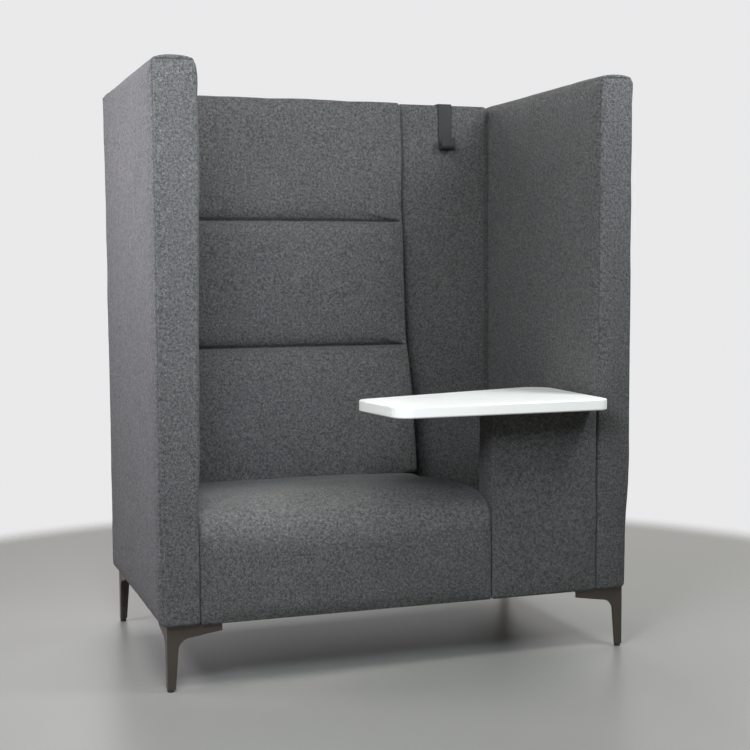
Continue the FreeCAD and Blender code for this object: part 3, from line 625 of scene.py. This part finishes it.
backrestCover = {"radius": 0.012, "step": 0.010, "clothStep": 0.016, "pressure": 3.0, "cap": 0.007,
                 "depths": ((0.059, 0.067, 0.005), (0.073, 0.096, 0.005), (0.108, 0.183, 0.019)),
                 "inset": 0.005, "pull": 0.016, "lip": 0.008, "crown": 0.004, "cornerTurn": 0.012,
                 "endPlain": 0.006, "endFade": 0.008, "wave": (0.14, 0.0009), "ripple": (0.05, 0.0003)}


def bowedDepth(share, topDepth, footDepth, swell):
    # straight from the lower depth to the upper one, with a parabola on it that is swell high
    return footDepth + (topDepth - footDepth) * share + 4 * swell * share * (1 - share)


def makeBackrest():
    # three sections under one cover: each is bowed between its upper and lower depth, and beside a
    # channel the surface sinks along a quarter ellipse, lip high and pull deep, which fades out before
    # the right end
    nodes = ["backrest_top_pad", "backrest_middle_pad", "backrest_lower_pad"]
    boxes = [[np.array(corner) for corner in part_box(node)] for node in nodes]
    depths = backrestCover["depths"]
    rear = boxes[0][1][1]
    low = np.array([boxes[0][0][0], rear - depths[0][0], boxes[2][0][2]])
    high = np.array([boxes[0][1][0], rear, boxes[0][1][2]])
    seams = [(boxes[0][0][2] + boxes[1][1][2]) / 2, (boxes[1][0][2] + boxes[2][1][2]) / 2]
    tops, lows = [high[2]] + seams, seams + [low[2]]
    plainDepth = high[1] - low[1]

    def depthAt(x, z):
        grooved = np.zeros(len(z))
        smoothHeights, smoothDepths = [], []
        for index, (top, foot) in enumerate(zip(tops, lows)):
            share = np.clip((z - foot) / (top - foot), 0, 1)
            depth = bowedDepth(share, *depths[index])
            step = 0 if index == 0 else depths[index][0] - depths[index - 1][1]
            for seam, deeper in ((top, step), (foot, 0)):
                if seam in seams:
                    near = np.clip(1 - np.abs(z - seam) / backrestCover["lip"], 0, 1)
                    depth = depth - (backrestCover["pull"] + deeper) * (1 - np.sqrt(1 - near ** 2))
            grooved = np.where((z <= top) & (z >= foot), depth, grooved)
            for part in (0.9, 0.5, 0.1):
                smoothHeights.append(foot + (top - foot) * part)
                smoothDepths.append(bowedDepth(part, *depths[index]))
        smooth = np.interp(z, smoothHeights[::-1], smoothDepths[::-1])
        fade = ease((high[0] - x - backrestCover["endPlain"]) / backrestCover["endFade"])
        middle = (low[0] + high[0]) / 2
        crown = backrestCover["crown"] * (1 - ((x - middle) / (high[0] - middle)) ** 2)
        return fade * grooved + (1 - fade) * smooth + crown - backrestCover["inset"]

    def shape(places, sewn):
        points, normals = roundOff(places, low, high, backrestCover["radius"])
        front = np.clip((high[1] - points[:, 1]) / (plainDepth - backrestCover["radius"]), 0, 1)
        points[:, 1] -= (depthAt(points[:, 0], places[:, 2]) - plainDepth) * front
        turn = backrestCover["cornerTurn"]
        blunt(points, (0, high[0], high[0] - turn), (2, high[2], high[2] - turn))
        if sewn:
            wave = uneven(points, 21, *backrestCover["wave"]) + uneven(points, 22, *backrestCover["ripple"])
            points += normals * wave[:, None]
        return points

    def held(places):
        fromLow, fromHigh = edgeWays(places, low, high)
        pinned = onEdge(*fromLow, *fromHigh)
        for way in (fromHigh[1], fromLow[2], fromLow[0]):
            pinned |= touches(way)
        for seam in seams:
            pinned |= (np.abs(places[:, 2] - seam) < 1e-4) & (fromHigh[0] > backrestCover["endFade"])
        return pinned

    return softPiece("backrest", nodes, low, high, backrestCover, shape, held, marks=((), (), seams))


makeBackrest()

seatCover = {"radius": 0.006, "step": 0.009, "clothStep": 0.018, "pressure": 3.0, "cap": 0.006,
             "endGap": 0.002, "drop": 0.0004, "height": 0.272, "inset": 0.003, "noseDepth": 0.160,
             "noseRise": 0.082, "noseFull": 2.7, "topFade": (0.375, 0.625), "fall": 0.025,
             "fallLength": 0.36, "crown": 0.004,
             "wave": (0.15, 0.0009), "ripple": (0.05, 0.0003)}


def makeSeat():
    # block whose front upper corner is a superellipse, with the top falling to the back and both ends
    # drawn in
    node = "seat_cushion"
    low, high = (np.array(corner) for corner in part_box(node))
    low[2] -= seatCover["drop"]
    high[0] -= seatCover["endGap"]
    high[2] = low[2] + seatCover["height"]
    radius = seatCover["radius"]
    middle, half = (low + high) / 2, (high - low) / 2

    def shape(places, sewn):
        points = places.copy()
        end = np.minimum(places[:, 0] - low[0], high[0] - places[:, 0])
        rest = np.clip(radius - end, 0, radius)
        inset = radius - np.sqrt(np.maximum(radius ** 2 - rest ** 2, 0))
        for axis in (1, 2):
            points[:, axis] = middle[axis] + (places[:, axis] - middle[axis]) * (1 - inset / half[axis])
        blunt(points, (1, low[1], low[1] + seatCover["noseDepth"]),
              (2, high[2], high[2] - seatCover["noseRise"]), seatCover["noseFull"])
        blunt(points, (1, low[1], low[1] + radius), (2, low[2], low[2] + radius))
        upper = np.clip((points[:, 2] - low[2]) / (high[2] - low[2]), 0, 1)
        onTop = ease((upper - seatCover["topFade"][0]) / seatCover["topFade"][1])
        back = ease((points[:, 1] - low[1] - seatCover["noseDepth"]) / seatCover["fallLength"])
        across = (points[:, 0] - middle[0]) / half[0]
        crown = (seatCover["crown"] * (1 - across ** 2) - seatCover["inset"]) * onTop
        points[:, 2] += crown - seatCover["fall"] * back * onTop
        if sewn:
            wave = uneven(points, 31, *seatCover["wave"]) + uneven(points, 32, *seatCover["ripple"])
            points[:, 2] += wave * upper
            points[:, 1] += wave * touches(places[:, 1] - low[1])
        return points

    def held(places):
        fromLow, fromHigh = edgeWays(places, low, high)
        return touches(fromLow[2]) | touches(fromHigh[1]) | touches(fromLow[0]) | touches(fromHigh[0])

    return softPiece("seat_block", [node], low, high, seatCover, shape, held)


makeSeat()


# Mat of the bag well and cloth below the base

wellSet = {"step": 0.010, "radius": 0.0024, "wave": (0.08, 0.0003), "fuller": (0.003, 0.004, 0)}
dustSet = {"step": 0.012, "radius": 0.00018, "wave": (0.08, 0.0), "fuller": (0, 0, 0)}


def makeThin(name, node, thin, material):
    # thin slab with a rounded rim, whose upper side sinks by the waves
    low, high = (np.array(corner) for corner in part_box(node))
    low, high = low - thin["fuller"], high + thin["fuller"]
    lines = [gridLines(low[i], high[i], thin["radius"], thin["step"]) for i in range(3)]
    places, quads, _ = blockGrid(lines)
    points, normals = roundOff(places, low, high, thin["radius"])
    points[:, 2] -= np.abs(uneven(points, 41, *thin["wave"])) * (normals[:, 2] > 0.9)
    piece = newPiece(name, points, quads, material)
    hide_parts(node)
    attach(piece, "booth")
    print("made", name, len(quads), "quads")
    return piece


makeThin("felt_mat", "well_mat", wellSet, feltMat)
dustSheet = makeThin("dust_cloth", "dust_cover", dustSet, dustCloth)


# Rigid nodes

legSet = {"merge": 0.00002, "bevel": 0.0016, "segments": 3, "sharp": 30}


def bevelled(node, name, material, own):
    # copy of a node's mesh with its doubles merged and its sharp edges rounded
    source = frame["nodes"][node]
    mesh = source.data.copy()
    piece = bpy.data.objects.new(name, mesh)
    scene.collection.objects.link(piece)
    mesh.materials.clear()
    mesh.materials.append(material)
    weld = piece.modifiers.new("merged", "WELD")
    weld.merge_threshold = own["merge"]
    bevel = piece.modifiers.new("edges", "BEVEL")
    bevel.width = own["bevel"]
    bevel.segments = own["segments"]
    bevel.limit_method = "ANGLE"
    bevel.angle_limit = math.radians(own["sharp"])
    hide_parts(node)
    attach(piece, source["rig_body"])
    return piece


for corner in ("front_left", "front_right", "back_left", "back_right"):
    bevelled("leg_" + corner, "corner_leg_" + corner, bronzeMetal, legSet)
print("legs made")

nodeFinish = {
    whiteLaminate: ["table_top"],
    hangerSteel: ["coat_hanger"],
    glidePlastic: ["glide_front_left", "glide_front_right", "glide_back_left", "glide_back_right"],
    zincSteel: ["panel_studs", "leg_screws", "bracket_screws", "frame_screws", "bracket_support_left",
                "bracket_support_right", "bracket_side"],
    rawTimber: ["left_side_frame", "right_side_frame", "back_frame", "base_board", "seat_frame",
                "support_frame"],
    webbing: ["seat_webbing"],
}
for finish, names in nodeFinish.items():
    for name in names:
        node = frame["nodes"][name]
        node.data.materials.clear()
        node.data.materials.append(finish)
print("nodes dressed")


# Floor, light and camera

stageSet = {"floorRadius": 2.2, "rings": 24, "spokes": 96, "fade": (1.80, 2.08),
            "floor": (0.230, 0.224, 0.204), "floorDark": 0.97, "floorRough": 0.35, "floorSpecular": 0.3,
            "backdrop": (0.82, 0.82, 0.83), "ambient": 0.06, "ambientColour": (0.95, 0.97, 1.0)}


def makeFloor():
    # disc of rings and spokes that turns clear towards its rim
    rings, spokes = stageSet["rings"], stageSet["spokes"]
    radius, angle = np.meshgrid(np.linspace(0.01, stageSet["floorRadius"], rings),
                                np.linspace(0, 2 * np.pi, spokes, endpoint=False), indexing="ij")
    disc = np.stack([radius * np.cos(angle), radius * np.sin(angle), np.zeros_like(angle)], -1)
    points = np.concatenate([disc.reshape(-1, 3), np.zeros((1, 3))])
    number = np.arange(rings * spokes).reshape(rings, spokes)
    beside = np.roll(number, -1, 1)
    quads = np.stack([number[:-1], number[1:], beside[1:], beside[:-1]], -1).reshape(-1, 4)
    material, tree, shader, place = newMaterial("paleFloor")
    tone = addNode(tree, "ShaderNodeTexNoise", {"Vector": place, "Scale": 1.3, "Detail": 4.0})
    darker = tuple(stageSet["floorDark"] * c for c in stageSet["floor"])
    colour = addRamp(tree, tone.outputs["Fac"], [(0.3, darker), (0.7, stageSet["floor"])])
    tree.links.new(colour, shader.inputs["Base Color"])
    shader.inputs["Roughness"].default_value = stageSet["floorRough"]
    shader.inputs["Specular IOR Level"].default_value = stageSet["floorSpecular"]
    reach = addNode(tree, "ShaderNodeVectorMath", {0: place}, operation="LENGTH")
    fadeStart, fadeEnd = stageSet["fade"]
    solid = addNode(tree, "ShaderNodeMapRange",
                    {"Value": reach.outputs["Value"], "From Min": fadeStart, "From Max": fadeEnd,
                     "To Min": 1.0, "To Max": 0.0}, interpolation_type="SMOOTHSTEP")
    tree.links.new(solid.outputs[0], shader.inputs["Alpha"])
    mesh = bpy.data.meshes.new("floor")
    hub = np.stack([np.full(spokes, rings * spokes), number[0], beside[0]], -1)
    mesh.from_pydata(points.tolist(), [], quads.tolist() + hub.tolist())
    mesh.materials.append(material)
    floor = bpy.data.objects.new("floor", mesh)
    scene.collection.objects.link(floor)


makeFloor()

world = bpy.data.worlds.new("studio")
scene.world = world
world.use_nodes = True
tree = world.node_tree
ground = tree.nodes["Background"]
ground.inputs["Color"].default_value = (*stageSet["ambientColour"], 1)
ground.inputs["Strength"].default_value = stageSet["ambient"]
seen = addNode(tree, "ShaderNodeBackground", {"Color": (*stageSet["backdrop"], 1), "Strength": 1.0})
ray = tree.nodes.new("ShaderNodeLightPath")
either = addNode(tree, "ShaderNodeMath", {0: ray.outputs["Is Camera Ray"], 1: ray.outputs["Is Glossy Ray"]},
                 operation="MAXIMUM")
mix = addNode(tree, "ShaderNodeMixShader", {0: either.outputs[0], 1: ground.outputs[0], 2: seen.outputs[0]})
tree.links.new(mix.outputs[0], tree.nodes["World Output"].inputs["Surface"])

lamps = [
    ("windowHigh", (-1.5, 0.1, 1.45), (-0.6, 0.05, 1.2), 0.4, 180, 16.2, (1.01, 0.98, 1.12)),
    ("windowLow", (-2.3, 0.1, 0.95), (-0.6, 0.05, 0.95), 0.9, 180, 9.4, (1.01, 0.98, 1.12)),
    ("key", (-0.9, -1.1, 2.3), (-0.4, 0.0, 0.9), 1.2, 180, 30, (0.98, 1.0, 0.99)),
    ("bandLeft", (-0.8, -1.5, 1.5), (-0.56, -0.3, 0.8), 0.5, 180, 22, (0.91, 1.01, 1.12)),
    ("bandRight", (1.05, -0.95, 1.95), (0.56, -0.3, 1.0), 0.5, 180, 21, (0.93, 1.0, 1.08)),
    ("overSeat", (-0.34, -0.65, 2.5), (-0.30, -0.22, 0.4), 0.25, 18, 0.36, (1.0, 1.0, 0.96)),
    ("fill", (1.8, -2.4, 3.0), (0.1, 0.0, 0.8), 1.8, 180, 2, (1.0, 1.0, 0.97)),
    ("right", (2.7, 0.9, 2.3), (0.5, 0.0, 0.9), 1.6, 180, 46, (1.0, 0.99, 0.98)),
    ("back", (0.4, 2.9, 2.7), (0.0, 0.4, 0.9), 1.6, 180, 72, (1.0, 1.0, 1.0)),
]
for name, place, target, width, beam, power, colour in lamps:
    data = bpy.data.lights.new(name, "AREA")
    data.energy = power
    data.color = colour
    data.size = width
    data.spread = math.radians(beam)
    lamp = bpy.data.objects.new(name, data)
    scene.collection.objects.link(lamp)
    lamp.visible_camera = False
    lamp.location = place
    lamp.rotation_euler = (Vector(target) - Vector(place)).to_track_quat("-Z", "Y").to_euler()

cameraSet = {"place": (-1.1635, -3.4399, 0.9703), "yaw": 0.333, "pitch": -0.0752, "tilt": -0.0057,
             "lens": 66.9}


def makeCamera():
    # turn to the right by yaw, up by pitch, and round the view axis by tilt
    yaw, pitch, tilt = cameraSet["yaw"], cameraSet["pitch"], cameraSet["tilt"]
    ahead = Vector((math.sin(yaw) * math.cos(pitch), math.cos(yaw) * math.cos(pitch), math.sin(pitch)))
    right = Vector((math.cos(yaw), -math.sin(yaw), 0))
    up = right.cross(ahead)
    turnedRight = right * math.cos(tilt) + up * math.sin(tilt)
    turnedUp = up * math.cos(tilt) - right * math.sin(tilt)
    data = bpy.data.cameras.new("camera")
    data.lens = cameraSet["lens"]
    data.sensor_width = 36
    camera = bpy.data.objects.new("camera", data)
    scene.collection.objects.link(camera)
    turn = Matrix((turnedRight, turnedUp, -ahead)).transposed().to_4x4()
    camera.matrix_world = Matrix.Translation(cameraSet["place"]) @ turn
    scene.camera = camera


makeCamera()
scene.view_settings.view_transform = "Standard"
